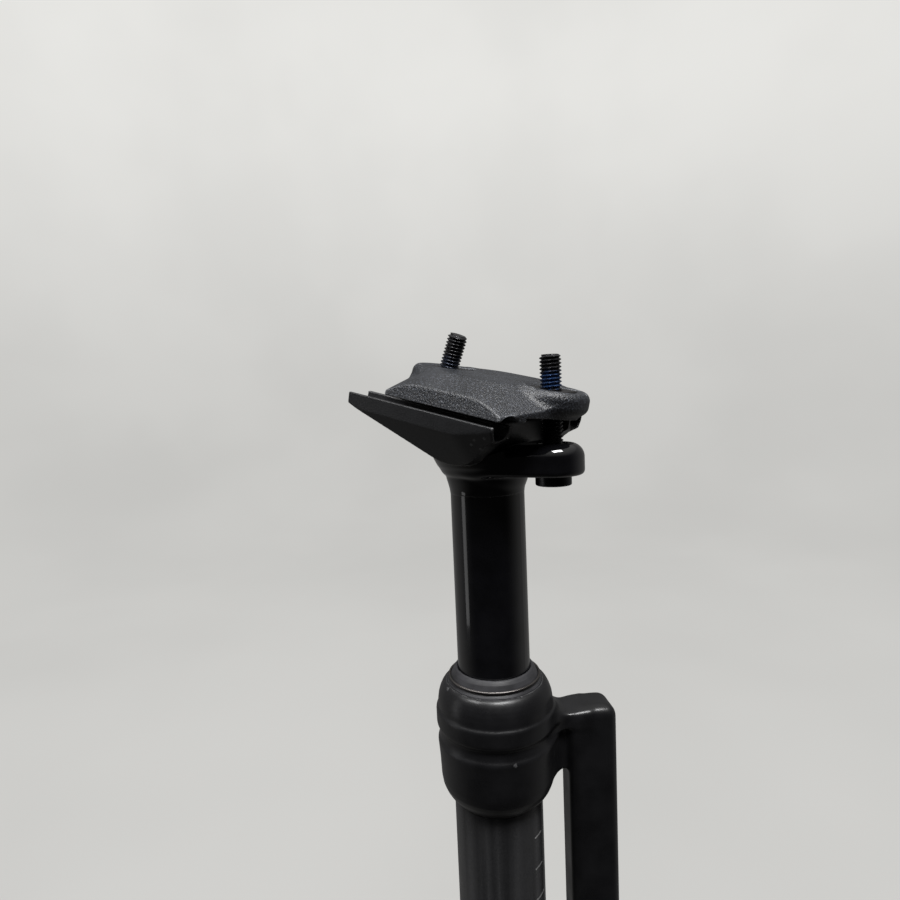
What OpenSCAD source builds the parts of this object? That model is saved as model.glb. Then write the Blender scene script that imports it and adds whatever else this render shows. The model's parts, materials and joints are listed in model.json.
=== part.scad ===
// Telescopic suspension seatpost with a two-bolt saddle clamp and a side reservoir.
// Frame: origin at the centre of the post's bottom end, +Z up the post axis,
// +X towards the front of the bicycle, +Y towards its left-hand side.

/* [Post] */
// Outside diameter of the outer tube, the size of the bicycle's seat tube
tube_d = 27.2; // [26.8:0.1:28]
// Height of the wiper's lip, where the stanchion comes out
lip_z = 270; // [262:1:285]
// Diameter of the sliding stanchion
stanchion_d = 22; // [21.6:0.1:22.2]
// Suspension travel
travel = 40; // [30:1:42]
// Height of the head's underside above the wiper's lip
head_rise = 60; // [56:1:66]

/* [Saddle clamp] */
// Forward tilt of the rail clamp from square to the post
clamp_tilt = 12.55; // [8:0.05:16]
// Distance between the two saddle rails
rail_gap = 44; // [43:0.1:45]
// Diameter of a saddle rail
rail_d = 7; // [6.8:0.1:7.2]
// Diameter of the clamp bolts
bolt_d = 6; // [5.8:0.1:6]
// Width of the lower cradle over both wings
cradle_w = 53; // [52:0.5:54]
// Length of the lower cradle
cradle_l = 49.1; // [46:0.1:50]

/* [Reservoir] */
// Direction of the reservoir column round the post, from +X towards +Y
column_turn = 42; // [30:1:60]
// Distance from the post axis to the column axis
column_reach = 29.3; // [28.5:0.5:31]
// Width of the column, measured away from the post
column_w = 15; // [13.5:0.1:15.4]
// Thickness of the column, measured round the post
column_t = 12; // [11.6:0.1:13]
// Radius of the reservoir's bore
reservoir_r = 4.2; // [4:0.1:4.3]

/* [Hidden] */
$fn = 96;

fit_gap = 0.05;             // radial clearance of a running fit
seat_gap = 0.15;            // gap left where adjustment moves two faces

// outer tube and collar
tube_r = tube_d / 2;
tube_bore_r = 11.7;
spigot_r = tube_r - 0.3;     // turned-down end inside the collar
step_bore_r = 11.35;
step_z = 154.3;
tube_top = lip_z - 30;
limit_z = 160;              // engraved line that marks the deepest insertion
collar_z = lip_z - 40;
collar_r = 18;
bushing_z = lip_z - 24;
oil_seal_z = lip_z - 13;
wiper_z = lip_z - 7;
port_z = lip_z - 27;
bushing_bore_r = 13;
oil_seal_bore_r = 14.2;
wiper_bore_r = 15;
chamber_r = 12.4;

// slider
stanchion_r = stanchion_d / 2;
stanchion_bore_r = stanchion_r - 1.8;
stanchion_z = 150;
neck_z = lip_z + head_rise - 3.5;
head_z = lip_z + head_rise;
foot_z = 94;
foot_r = 11.55;
foot_shoulder_z = 171;
key_z = 96;
keyway_top_z = 100.5;
keyway_z = key_z - travel - 2;
key_w = 3;

// spring and preload
seat_z = 15;
seat_h = 3;
spring_r = 9.3;
spring_wire_r = 1.75;
spring_turns = 7;
coil_steps = 14;            // steps in a turn of the coil
coil_sides = 8;

// reservoir column
column_top = lip_z - 13.9;
column_z = lip_z - 85;
cap_h = 4;
valve_z = column_z - cap_h;
corner_r = 3;
bridge_x = 12;              // where the bridge starts, inside the collar's wall
bridge_t = column_t - 1.2;
bridge_h = 4.9;
bridge_z = lip_z - 19.8;       // underside of the bridge
web_t = 5.5;
web_z = lip_z - 33.6;

// clamp frame: its origin is midway between the wings' top edges
clamp_x = -4.82;
clamp_z = lip_z + 80;
rail_w = -0.6;              // rail axis, just below the wings' top edges
rail_r = rail_d / 2 + 0.05;
rail_v = rail_gap / 2;
cradle_v = cradle_w / 2;
cradle_u = cradle_l / 2;
groove_inner_v = 17;
clamp_u = 7.8;              // middle of the top clamp
clamp_half_u = 17.4;
bolt_u = 17.43;             // each bolt from the middle of the top clamp
nut_w = 9.4;                // height of the half nuts' axes
clamp_top_w = 10;
clamp_under_w = 2.5;
ear_r = 10.9;
ear_under_w = 3.2;
nut_r = 5.2;
nut_l = 14;
swing_x = 4;                // axis on which the cradle tilts on the head
swing_z = lip_z + 84;
swing_r = 18;

// bolts: lean from the post axis
front_lean = 0;
rear_lean = 22.9;
bolt_len = 30;
bolt_r = bolt_d / 2;
bolt_head_r = 5;
bolt_head_h = 5.8;
washer_h = 1.3;
front_ear_r = 8.6;
rear_ear_r = 8;
arm_half_w = 13;            // half width of the arms beside the post
ear_h = 8.8;
head_sink = 2.9;            // how deep the underside of a bolt's head sits in its ear

function clamp_point(u, w) = [
    clamp_x + u * cos(clamp_tilt) + w * sin(clamp_tilt),
    clamp_z - u * sin(clamp_tilt) + w * cos(clamp_tilt)
];
front_nut = clamp_point(clamp_u + bolt_u, nut_w);
rear_nut = clamp_point(clamp_u - bolt_u, nut_w);
// reach from a half nut's axis down to the underside of its bolt's head
front_reach = front_nut[1] - head_z - head_sink;
rear_reach = 19.7;

// points along an arc of n steps
function arc(c, r, a0, a1, n = 12) =
    [for (i = [0 : n]) c + r * [cos(a0 + (a1 - a0) * i / n), sin(a0 + (a1 - a0) * i / n)]];

module ring(outer, inner, h) {
    difference() {
        cylinder(r = outer, h = h);
        translate([0, 0, -1]) cylinder(r = inner, h = h + 2);
    }
}

// a ring of round section
module torus(major, minor) {
    rotate_extrude() translate([major, 0]) circle(r = minor, $fn = 32);
}

// a rounded rectangle standing on XY
module rounded_bar(w, t, h, r) {
    half = [w / 2 - r, t / 2 - r];
    linear_extrude(h) polygon(concat(
        arc([half[0], half[1]], r, 0, 90, 8), arc([-half[0], half[1]], r, 90, 180, 8),
        arc([-half[0], -half[1]], r, 180, 270, 8), arc([half[0], -half[1]], r, 270, 360, 8)));
}

// a side outline in X and Z, pushed out to y either side
module side_prism(points, y0, y1) {
    translate([0, y1, 0]) rotate([90, 0, 0]) linear_extrude(y1 - y0) polygon(points);
}

module in_clamp_frame() {
    translate([clamp_x, 0, clamp_z]) rotate([0, clamp_tilt, 0]) children();
}

// local Z runs up the bolt, from the nut's axis
module on_bolt(nut, lean) {
    translate([nut[0], 0, nut[1]]) rotate([0, lean, 0]) children();
}

module at_column() {
    rotate([0, 0, column_turn]) translate([column_reach, 0, 0]) children();
}

// ---------------------------------------------------------------- outer tube
module outer_tube() {
    chamfer = 0.6;
    line_depth = 0.15;
    color("#141416") difference() {
        rotate_extrude() polygon([
            [tube_bore_r + chamfer, 0], [tube_r, 0],
            [tube_r, limit_z], [tube_r - line_depth, limit_z],
            [tube_r - line_depth, limit_z + 0.8], [tube_r, limit_z + 0.8],
            [tube_r, collar_z - 0.2], [spigot_r, collar_z - 0.2],
            [spigot_r, tube_top], [step_bore_r, tube_top], [step_bore_r, step_z],
            [tube_bore_r, step_z], [tube_bore_r, chamfer]]);
        for (k = [0 : 2]) rotate([0, 0, 120 * k + 60])
            translate([0, -key_w / 2 - fit_gap, keyway_z])
                cube([tube_bore_r + 0.9, key_w + 2 * fit_gap, keyway_top_z - keyway_z]);
    }
}

// ---------------------------------------------------------------- collar
// outline from the wiper's seat down to the rounded lower end, as radius and depth
collar_outline = concat(
    arc([14.6, -4.3], 1.7, 100, 20, 6),
    [[16.6, -6.1], [17.5, -9.5]],
    arc([collar_r - 4, -13.2], 4, 26, -32, 8),
    [[17.35, -18.8], [17.7, -21.2], [17.45, -27], [17.2, -33]],
    arc([13.4, -34.8], 3.7, 0, -62, 8),
    [[13.7, -40]]);

module collar_body() {
    translate([0, 0, lip_z]) rotate_extrude()
        polygon(concat([[5, -2.4], [14.2, -2.4]], collar_outline, [[5, -40]]));
    // column with a crowned top
    intersection() {
        at_column() translate([0, 0, column_z])
            rounded_bar(column_w, column_t, column_top - column_z, corner_r);
        rotate([0, 0, column_turn]) side_prism(concat(
            [[column_reach - 9, column_z - 1], [column_reach + 9, column_z - 1]],
            arc([column_reach + column_w / 2 - 4, column_top - 4], 4, 0, 90, 8),
            arc([column_reach - column_w / 2 + 2, column_top - 4], 3.6, 90, 180, 8)), -8, 8);
    }
    // bridge and the thinner web under it
    rotate([0, 0, column_turn]) {
        translate([bridge_x, -bridge_t / 2, bridge_z]) cube([column_reach - 14, bridge_t, bridge_h]);
        translate([bridge_x, -web_t / 2, web_z]) cube([column_reach - 14, web_t, bridge_z - web_z + 1]);
    }
}

module seal_collar() {
    color("#1d1d20") difference() {
        collar_body();
        // seats for the tube, the oil chamber, the bushing, the oil seal and the wiper
        translate([0, 0, collar_z - 1]) cylinder(r = spigot_r + 0.02, h = tube_top - collar_z + 1);
        translate([0, 0, tube_top - 1]) cylinder(r = chamber_r, h = 20);
        translate([0, 0, bushing_z]) cylinder(r = bushing_bore_r, h = 20);
        translate([0, 0, oil_seal_z]) cylinder(r = oil_seal_bore_r, h = 20);
        translate([0, 0, wiper_z]) cylinder(r = wiper_bore_r, h = 20);
        translate([0, 0, tube_top - 3]) torus(spigot_r, 0.75);
        // oil port through the web, with its plug's seat
        rotate([0, 0, column_turn]) translate([0, 0, port_z]) rotate([0, 90, 0]) {
            cylinder(r = 1.2, h = column_reach + 8);
            translate([0, 0, column_reach + 2.5]) cylinder(r = 2.5, h = 8);
        }
        // reservoir bore, and the seat of its cap
        at_column() {
            translate([0, 0, column_z + 7]) cylinder(r = reservoir_r, h = port_z + 4 - column_z - 7);
            translate([0, 0, column_z - 1]) cylinder(r = 4.98, h = 9);
        }
    }
}

module tube_o_ring() {
    color("#101010") translate([0, 0, tube_top - 3])
        difference() {
            torus(spigot_r, 0.7);
            translate([0, 0, -1]) cylinder(r = spigot_r + 0.01, h = 2);
        }
}

module upper_bushing() {
    color("#8a6b35") translate([0, 0, bushing_z])
        ring(bushing_bore_r - 0.01, stanchion_r + fit_gap, oil_seal_z - bushing_z - 0.2);
}

module oil_seal() {
    color("#2b2b2e") translate([0, 0, oil_seal_z]) rotate_extrude() polygon([
        [stanchion_r + fit_gap, 0], [oil_seal_bore_r - 0.02, 0], [oil_seal_bore_r - 0.02, 5],
        [13.2, 5], [12.6, 2.4], [11.9, 5], [stanchion_r + fit_gap, 5]]);
}

module wiper_seal() {
    color("#3c3c40") translate([0, 0, lip_z]) rotate_extrude() polygon([
        [stanchion_r + fit_gap, -7], [wiper_bore_r - 0.02, -7], [wiper_bore_r - 0.02, -3.2],
        [14.4, -2.6], [13.9, -2.9], [13.3, -2.6], [13.2, -1.7], [12.5, -0.4], [11.8, 0.5],
        [11.3, 0.7], [stanchion_r + fit_gap, 0.3]]);
}

module wiper_ring() {
    color("#8d8a86") translate([0, 0, lip_z - 2.02]) torus(13.75, 0.42);
}

module port_plug() {
    color("#2a2a2c") rotate([0, 0, column_turn])
        translate([column_reach + 2.6, 0, port_z]) rotate([0, 90, 0]) difference() {
            cylinder(r = 2.48, h = column_w / 2 - 2.9);
            translate([0, 0, column_w / 2 - 4.9]) cylinder(r = 1.25 / cos(30), h = 4, $fn = 6);
        }
}

// ---------------------------------------------------------------- slider
module stanchion() {
    color("#08080a") translate([0, 0, stanchion_z])
        ring(stanchion_r, stanchion_bore_r, neck_z - stanchion_z);
}

// outline of the cup that flares from the stanchion to carry the cradle
cup_outline = [[0, -3.5], [stanchion_r + 0.5, -3.5], [stanchion_r + 1, -1.7], [stanchion_r + 1.7, 0],
    [14.4, 2.4], [15.5, 4.4], [16, 6.6], [16, ear_h], [0, ear_h]];

// side outline of both arms, each ending in an ear square to its bolt
function arm_outline() = let (
        b = [sin(rear_lean), cos(rear_lean)],
        s = [-cos(rear_lean), sin(rear_lean)],
        rear_low = rear_nut - (rear_reach + head_sink) * b,
        front_end = front_nut[0] + front_ear_r)
    concat(
        [[0, head_z]],
        arc([front_end - 3.6, head_z + 3.6], 3.6, -90, 0, 8),
        arc([front_end - 4, head_z + ear_h - 4], 4, 0, 90, 8),
        [[0, head_z + ear_h]],
        [rear_low + ear_h * b - 5 * s],
        arc(rear_low + (ear_h - 3) * b + 4.5 * s, 3, 90 - rear_lean, 180 - rear_lean, 8),
        arc(rear_low + 3 * b + 4.5 * s, 3, 180 - rear_lean, 270 - rear_lean, 8));

module post_head() {
    front_x = front_nut[0];
    rear_x = rear_nut[0] - (rear_reach - 2) * sin(rear_lean);
    color("#0b0b0d") difference() {
        union() {
            translate([0, 0, head_z]) rotate_extrude() polygon(cup_outline);
            intersection() {
                side_prism(arm_outline(), -arm_half_w - 1, arm_half_w + 1);
                translate([0, 0, neck_z]) {
                    translate([front_x, 0, 0]) cylinder(r = front_ear_r, h = 40);
                    translate([rear_x, 0, 0]) cylinder(r = rear_ear_r, h = 40);
                    linear_extrude(40) polygon([
                        [rear_x, -rear_ear_r], [0, -arm_half_w], [front_x, -front_ear_r],
                        [front_x, front_ear_r], [0, arm_half_w], [rear_x, rear_ear_r]]);
                }
            }
            // spigot bonded inside the stanchion
            translate([0, 0, neck_z - 18]) cylinder(r = stanchion_bore_r - 0.02, h = 18.5);
        }
        translate([0, 0, neck_z - 19]) cylinder(r = 6.5, h = 16);
        // round seat of the cradle
        translate([swing_x, 20, swing_z]) rotate([90, 0, 0]) cylinder(r = swing_r, h = 40);
        on_bolt(front_nut, front_lean) translate([0, 0, -front_reach]) head_hole();
        on_bolt(rear_nut, rear_lean) translate([0, 0, -rear_reach]) head_hole();
    }
}

// the bolt's clearance hole and the recess for its head, from the underside of its washer
module head_hole() {
    cylinder(r = bolt_r + 0.9, h = 14);
    translate([0, 0, -12]) cylinder(r = bolt_head_r + 0.9, h = 12 + washer_h + seat_gap);
}

module slider_foot() {
    shoulder = foot_shoulder_z;
    color("#a8a9ad") difference() {
        union() {
            translate([0, 0, foot_z]) cylinder(r = foot_r, h = stanchion_z - 0.02 - foot_z);
            translate([0, 0, foot_z + 1])
                cylinder(r = stanchion_bore_r - 0.02, h = shoulder - foot_z - 1);
        }
        translate([0, 0, foot_z + 4]) cylinder(r = 7, h = shoulder - foot_z);
        translate([0, 0, foot_z - 1]) cylinder(r = 2.5, h = 8);
        // grooves for the piston ring and the guide band
        translate([0, 0, stanchion_z - 6.1]) ring(foot_r + 1, foot_r - 1.4, 2.2);
        translate([0, 0, stanchion_z - 20.1]) ring(foot_r + 1, foot_r - 0.8, 10.2);
        // seats for the three keys
        for (k = [0 : 2]) rotate([0, 0, 120 * k + 60]) key_bar(0.02);
    }
}

module key_bar(grow) {
    translate([foot_r - 2, -key_w / 2 - grow, key_z - grow])
        cube([2.7 + grow, key_w + 2 * grow, 4 + 2 * grow]);
}

module anti_rotation_keys() {
    color("#b98f3e") for (k = [0 : 2]) rotate([0, 0, 120 * k + 60]) key_bar(0);
}

module piston_ring() {
    color("#17171a") translate([0, 0, stanchion_z - 6])
        ring(tube_bore_r - 0.03, foot_r - 1.38, 2);
}

module guide_band() {
    color("#6d7f4a") translate([0, 0, stanchion_z - 20])
        ring(tube_bore_r - 0.03, foot_r - 0.78, 10);
}

module top_out_bumper() {
    color("#5a2320") translate([0, 0, stanchion_z])
        ring(tube_bore_r - 0.15, stanchion_r + 0.02, 4);
}

// ---------------------------------------------------------------- spring and preload
// height fraction along the coil, flatter over the first and last turn
function coil_rise(t) = t - sin(360 * t) / (2 * PI) * 0.55;

// the wire's section, one ring of points at a place along the coil
function coil_ring(t, z0, z1) =
    [for (j = [0 : coil_sides - 1]) let (
            a = 360 * spring_turns * t,
            b = 360 * j / coil_sides,
            r = spring_r + spring_wire_r * cos(b))
        [r * cos(a), r * sin(a), z0 + (z1 - z0) * coil_rise(t) + spring_wire_r * sin(b)]];

module main_spring() {
    z0 = seat_z + seat_h + spring_wire_r;
    z1 = foot_z - spring_wire_r;
    steps = spring_turns * coil_steps;
    n = coil_sides;
    points = [for (i = [0 : steps]) each coil_ring(i / steps, z0, z1)];
    walls = [for (i = [0 : steps - 1], j = [0 : n - 1]) let (k = (j + 1) % n)
        each [[i * n + j, i * n + k, (i + 1) * n + k], [i * n + j, (i + 1) * n + k, (i + 1) * n + j]]];
    ends = [[for (j = [n - 1 : -1 : 0]) j], [for (j = [0 : n - 1]) steps * n + j]];
    color("#6f7276") polyhedron(points, concat(walls, ends));
}

module bottom_out_bumper() {
    color("#c9b26a") translate([0, 0, seat_z + seat_h]) rotate_extrude() polygon(concat(
        [[0, 0], [5, 0]],
        [for (i = [0 : 24]) [5 - 0.8 * sin(i * 60) * sin(i * 60), 1 + i]],
        [[3.5, 27], [0, 27]]));
}

module spring_seat() {
    color("#9a9b9f") translate([0, 0, seat_z])
        cylinder(r = tube_bore_r - 0.1, h = seat_h);
}

module preload_plug() {
    color("#222225") difference() {
        translate([0, 0, 1.5]) cylinder(r = tube_bore_r - fit_gap, h = seat_z - 1.5 - fit_gap);
        translate([0, 0, 0]) cylinder(r = 4 / cos(30), h = 9, $fn = 6);
    }
}

// ---------------------------------------------------------------- reservoir
piston_z = column_z + 9;
piston_h = 8;

module floating_piston() {
    color("#b3b4b8") at_column() translate([0, 0, piston_z]) difference() {
        cylinder(r = reservoir_r - fit_gap, h = piston_h);
        translate([0, 0, 3]) ring(reservoir_r + 1, reservoir_r - 1, 2);
        translate([0, 0, -1]) cylinder(r = 2, h = 5);
    }
}

module floating_piston_ring() {
    color("#101012") at_column() translate([0, 0, piston_z + 3.1])
        ring(reservoir_r - 0.02, reservoir_r - 0.98, 1.8);
}

module reservoir_cap() {
    color("#26262a") at_column() difference() {
        union() {
            translate([0, 0, column_z]) cylinder(r = 4.96, h = 6.5);
            translate([0, 0, valve_z]) rounded_bar(column_w - 0.6, column_t - 0.6, cap_h, corner_r);
        }
        translate([0, 0, column_z + 3.2]) ring(6, 4.2, 1.6);
        translate([0, 0, valve_z - 1]) cylinder(r = 2.6, h = 14);
    }
}

module cap_o_ring() {
    color("#101012") at_column() translate([0, 0, column_z + 3.3]) ring(4.97, 4.22, 1.4);
}

module gas_valve() {
    color("#b8975a") at_column() difference() {
        union() {
            translate([0, 0, valve_z - 9]) cylinder(r = 3.85, h = 9);
            translate([0, 0, valve_z - 1]) cylinder(r = 2.58, h = 9);
        }
        translate([0, 0, valve_z - 10]) cylinder(r = 2.2, h = 6.5);
        translate([0, 0, valve_z - 5]) cylinder(r = 0.85, h = 20);
    }
}

module valve_pin() {
    color("#d9c48a") at_column() translate([0, 0, valve_z - 8]) {
        cylinder(r = 0.8, h = 12);
        cylinder(r = 1.2, h = 1);
    }
}

module valve_cap() {
    color("#1a1a1c") at_column() translate([0, 0, valve_z - 11.5]) difference() {
        cylinder(r = 4.9, h = 10.8);
        translate([0, 0, 1.8]) cylinder(r = 3.9, h = 10);
    }
}

// ---------------------------------------------------------------- saddle clamp
// side outline of a wing: deep near the front, thin at the rear tip
wing_side = [[-cradle_u, 0], [-cradle_u, -3.2], [4.4, -13.1], [6.8, -13.6], [9, -13.75],
    [11.5, -13.55], [14, -12.9], [17.3, -10.9], [19.9, -8.1], [22, -5.5], [24, -4], [cradle_u, -3.5],
    [cradle_u, 0]];

// cross-section of a wing: an upright band, then a facet slanting inwards
wing_section = [[groove_inner_v, 0], [cradle_v, 0], [cradle_v, -4.2], [21.2, -14], [groove_inner_v, -14]];

module wing() {
    difference() {
        intersection() {
            side_prism(wing_side, groove_inner_v, cradle_v);
            rotate([90, 0, 90]) translate([0, 0, -cradle_u]) linear_extrude(cradle_l)
                polygon(wing_section);
        }
        translate([-cradle_u - 1, rail_v, rail_w]) rotate([0, 90, 0])
            cylinder(r = rail_r, h = cradle_l + 2);
    }
}

module lower_cradle() {
    block_u = [-6.5, 17.5];
    color("#1f1f22") {
        in_clamp_frame() {
            wing();
            mirror([0, 1, 0]) wing();
        }
        // saddle between the wings, round under the tilt axis
        intersection() {
            translate([swing_x, 20, swing_z]) rotate([90, 0, 0])
                cylinder(r = swing_r - fit_gap, h = 40);
            in_clamp_frame() translate([block_u[0], -groove_inner_v - 0.5, -20])
                cube([block_u[1] - block_u[0], 2 * groove_inner_v + 1, 19]);
        }
    }
}

// cross-section of the top clamp over one rail
pad_section = [[0, clamp_top_w], [16, clamp_top_w], [24.2, 5.1], [26, 2.3], [25.6, 1.5],
    [groove_inner_v, 1.5], [groove_inner_v, clamp_under_w], [0, clamp_under_w]];

// the corner of a pad, the top of the ridge above it, and its meeting with the ear
pad_corner = [clamp_half_u + 0.2, 26, 2.3];
ridge_end = [8.4, 16, clamp_top_w];
ear_meet = [23.7, 7.5, 5];

// everything above the sloping facet through those three points
module above_facet() {
    n = cross(ridge_end - pad_corner, ear_meet - pad_corner);
    up = n / norm(n) * sign(n[2]);
    translate(pad_corner) rotate([0, acos(up[2]), atan2(up[1], up[0])])
        translate([-60, -60, 0]) cube([120, 120, 60]);
}

// both pads, from the middle of the clamp
module pads() {
    quarter = [[pad_corner[0], pad_corner[1]], [ear_meet[0], ear_meet[1]]];
    section = concat(pad_section,
        [for (i = [len(pad_section) - 2 : -1 : 1]) [-pad_section[i][0], pad_section[i][1]]]);
    difference() {
        intersection() {
            rotate([90, 0, 90]) translate([0, 0, -40]) linear_extrude(80) polygon(section);
            linear_extrude(clamp_top_w + 1) polygon([
                quarter[0], quarter[1], [quarter[1][0], -quarter[1][1]], [quarter[0][0], -quarter[0][1]],
                [-quarter[0][0], -quarter[0][1]], [-quarter[1][0], -quarter[1][1]],
                [-quarter[1][0], quarter[1][1]], [-quarter[0][0], quarter[0][1]]]);
        }
        for (a = [0, 1], b = [0, 1]) mirror([a, 0, 0]) mirror([0, b, 0]) above_facet();
    }
}

module top_clamp() {
    color("#222226") in_clamp_frame() translate([clamp_u, 0, 0]) difference() {
        union() {
            pads();
            // spine with a round ear at each bolt
            for (s = [-1, 1]) translate([s * bolt_u, 0, ear_under_w]) {
                cylinder(r = ear_r, h = clamp_top_w - ear_under_w - 2);
                cylinder(r = ear_r - 1.2, h = clamp_top_w - ear_under_w);
            }
            translate([-bolt_u, -9.7, ear_under_w])
                cube([2 * bolt_u, 19.4, clamp_top_w - ear_under_w]);
        }
        for (s = [-1, 1]) {
            translate([-45, s * rail_v, rail_w]) rotate([0, 90, 0]) cylinder(r = rail_r, h = 90);
            // trough of a half nut, and the slot under it for the bolt
            translate([s * bolt_u, 0, nut_w]) {
                rotate([90, 0, 0]) translate([0, 0, -nut_l / 2 - 0.3])
                    cylinder(r = nut_r + 0.08, h = nut_l + 0.6);
                translate([-nut_r - 0.08, -nut_l / 2 - 0.3, 0])
                    cube([2 * nut_r + 0.16, nut_l + 0.6, 4]);
                for (du = [0, 1.2, 2.4]) translate([s * du, 0, -10])
                    cylinder(r = bolt_r + 0.9, h = 14);
            }
        }
    }
}

module half_nut(nut, lean) {
    color("#3a3b3f") difference() {
        intersection() {
            translate([nut[0], nut_l / 2, nut[1]]) rotate([90, 0, 0]) cylinder(r = nut_r, h = nut_l);
            translate([nut[0], 0, nut[1]]) rotate([0, clamp_tilt, 0])
                translate([-10, -10, -10]) cube([20, 20, 10 - 0.1]);
        }
        on_bolt(nut, lean) translate([0, 0, -12]) cylinder(r = bolt_r + fit_gap, h = 24);
    }
}

module half_nut_front() { half_nut(front_nut, front_lean); }

module half_nut_rear() { half_nut(rear_nut, rear_lean); }

// domed washer over the bolt's head
module seat_washer(nut, lean, reach) {
    color("#303034") on_bolt(nut, lean) translate([0, 0, -reach])
        ring(bolt_head_r - 0.1, bolt_r + 0.2, washer_h);
}

module seat_washer_front() { seat_washer(front_nut, front_lean, front_reach); }

module seat_washer_rear() { seat_washer(rear_nut, rear_lean, rear_reach); }

// socket-head bolt, its head down
module clamp_bolt(nut, lean, reach) {
    color("#19191b") on_bolt(nut, lean) translate([0, 0, -reach]) difference() {
        union() {
            cylinder(r = bolt_r, h = bolt_len);
            translate([0, 0, -bolt_head_h]) cylinder(r = bolt_head_r, h = bolt_head_h - 0.02);
            translate([0, 0, -1]) cylinder(r = bolt_r, h = 2);
        }
        translate([0, 0, -bolt_head_h - 1]) cylinder(r = 2.5 / cos(30), h = 4, $fn = 6);
    }
}

module clamp_bolt_front() { clamp_bolt(front_nut, front_lean, front_reach); }

module clamp_bolt_rear() { clamp_bolt(rear_nut, rear_lean, rear_reach); }

outer_tube();
seal_collar();
tube_o_ring();
upper_bushing();
oil_seal();
wiper_seal();
wiper_ring();
port_plug();
stanchion();
post_head();
slider_foot();
guide_band();
piston_ring();
anti_rotation_keys();
top_out_bumper();
main_spring();
bottom_out_bumper();
spring_seat();
preload_plug();
floating_piston();
floating_piston_ring();
reservoir_cap();
cap_o_ring();
gas_valve();
valve_pin();
valve_cap();
lower_cradle();
top_clamp();
half_nut_front();
half_nut_rear();
seat_washer_front();
seat_washer_rear();
clamp_bolt_front();
clamp_bolt_rear();
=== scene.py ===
"""A telescopic suspension seatpost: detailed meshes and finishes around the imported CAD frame.

Shapes are written in millimetres in a local frame and placed in the row frame in metres.
Cast and forged pieces are signed distance fields, meshed by a surface net and pulled onto
the exact surface. Turned pieces are outlines spun about an axis.
"""
import json
import math

import bpy
import numpy as np
from mathutils import Matrix, Vector


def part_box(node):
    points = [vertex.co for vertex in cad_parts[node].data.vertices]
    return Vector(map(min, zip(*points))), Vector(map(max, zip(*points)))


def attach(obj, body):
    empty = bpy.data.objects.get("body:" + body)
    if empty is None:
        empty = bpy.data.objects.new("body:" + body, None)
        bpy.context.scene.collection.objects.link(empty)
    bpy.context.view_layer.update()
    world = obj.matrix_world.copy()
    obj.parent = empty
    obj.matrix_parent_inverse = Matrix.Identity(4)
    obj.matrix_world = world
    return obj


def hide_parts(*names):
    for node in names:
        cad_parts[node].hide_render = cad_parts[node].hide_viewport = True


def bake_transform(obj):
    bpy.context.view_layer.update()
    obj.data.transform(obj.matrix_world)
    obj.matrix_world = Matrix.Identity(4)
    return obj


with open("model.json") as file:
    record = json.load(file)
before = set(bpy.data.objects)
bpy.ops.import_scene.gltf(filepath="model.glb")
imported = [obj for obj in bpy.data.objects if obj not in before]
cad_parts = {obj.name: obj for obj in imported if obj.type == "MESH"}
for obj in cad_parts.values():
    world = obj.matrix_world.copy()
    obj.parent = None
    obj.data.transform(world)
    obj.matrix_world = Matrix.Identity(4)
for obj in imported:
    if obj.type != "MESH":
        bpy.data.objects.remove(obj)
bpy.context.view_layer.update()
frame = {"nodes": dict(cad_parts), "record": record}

MM = 0.001
JOINTS = {j["name"]: j for j in frame["record"]["behaviour"]["joints"]}
MOUNTS = {m["name"]: m for m in frame["record"]["mounts"]}


# ---------------------------------------------------------------- places from the frame
def mm(point):
    return np.array(point, float) / MM


def axes_matrix(origin_mm, x, y, z):
    """Local axes and an origin in millimetres, as the matrix from local millimetres to metres."""
    m = Matrix.Identity(4)
    for col, axis in enumerate((x, y, z)):
        for row in range(3):
            m[row][col] = axis[row] * MM
    for row in range(3):
        m[row][3] = origin_mm[row] * MM
    return m


ROW = axes_matrix((0, 0, 0), (1, 0, 0), (0, 1, 0), (0, 0, 1))
LIP_OVER_TUBE = 30.0                              # collar's mouth above the outer tube's top
HEAD_OVER_STANCHION = 3.5                         # head's underside above the stanchion's top
LIP_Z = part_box("outer_tube")[1].z / MM + LIP_OVER_TUBE
HEAD_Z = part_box("stanchion")[1].z / MM + HEAD_OVER_STANCHION
STANCHION_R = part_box("stanchion")[1].x / MM
SWING = mm(JOINTS["clamp_tilt"]["pos_m"])         # axis on which the cradle tilts
SWING_R = 18.0
FRONT_NUT = mm(JOINTS["front_nut_pivot"]["pos_m"])
REAR_NUT = mm(JOINTS["rear_nut_pivot"]["pos_m"])
COLUMN = mm(JOINTS["dust_cap_turn"]["pos_m"])
COLUMN_REACH = math.hypot(COLUMN[0], COLUMN[1])
COLUMN_TURN = math.atan2(COLUMN[1], COLUMN[0])

# clamp frame: u forwards along the rails, v sideways, w up; its origin is between the wings' tops
RAIL_MID_U = 1.6
RAIL_V = MOUNTS["rail_left"]["pos_m"][1] / MM
U_AXIS = np.array(MOUNTS["rail_left"]["axis"], float)
W_AXIS = np.cross(U_AXIS, (0.0, 1.0, 0.0))
RAIL_W = -0.6                                     # rail axis below the wings' tops
CLAMP_ORIGIN = mm(MOUNTS["rail_left"]["pos_m"]) - U_AXIS * RAIL_MID_U - W_AXIS * RAIL_W
CLAMP_ORIGIN[1] = 0.0                             # from the left rail's groove to the middle
CLAMP = axes_matrix(CLAMP_ORIGIN, U_AXIS, (0, 1, 0), W_AXIS)
RAIL_R = MOUNTS["rail_left"]["dims"]["r_mm"]
CLAMP_U = 7.8                                     # middle of the top clamp
BOLT_U = 17.43                                    # each bolt from there
NUT_W = 9.4
TOP_W = 10.0                                      # flat top of the top clamp
NUT_R = 5.2
NUT_L = 14.0

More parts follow.
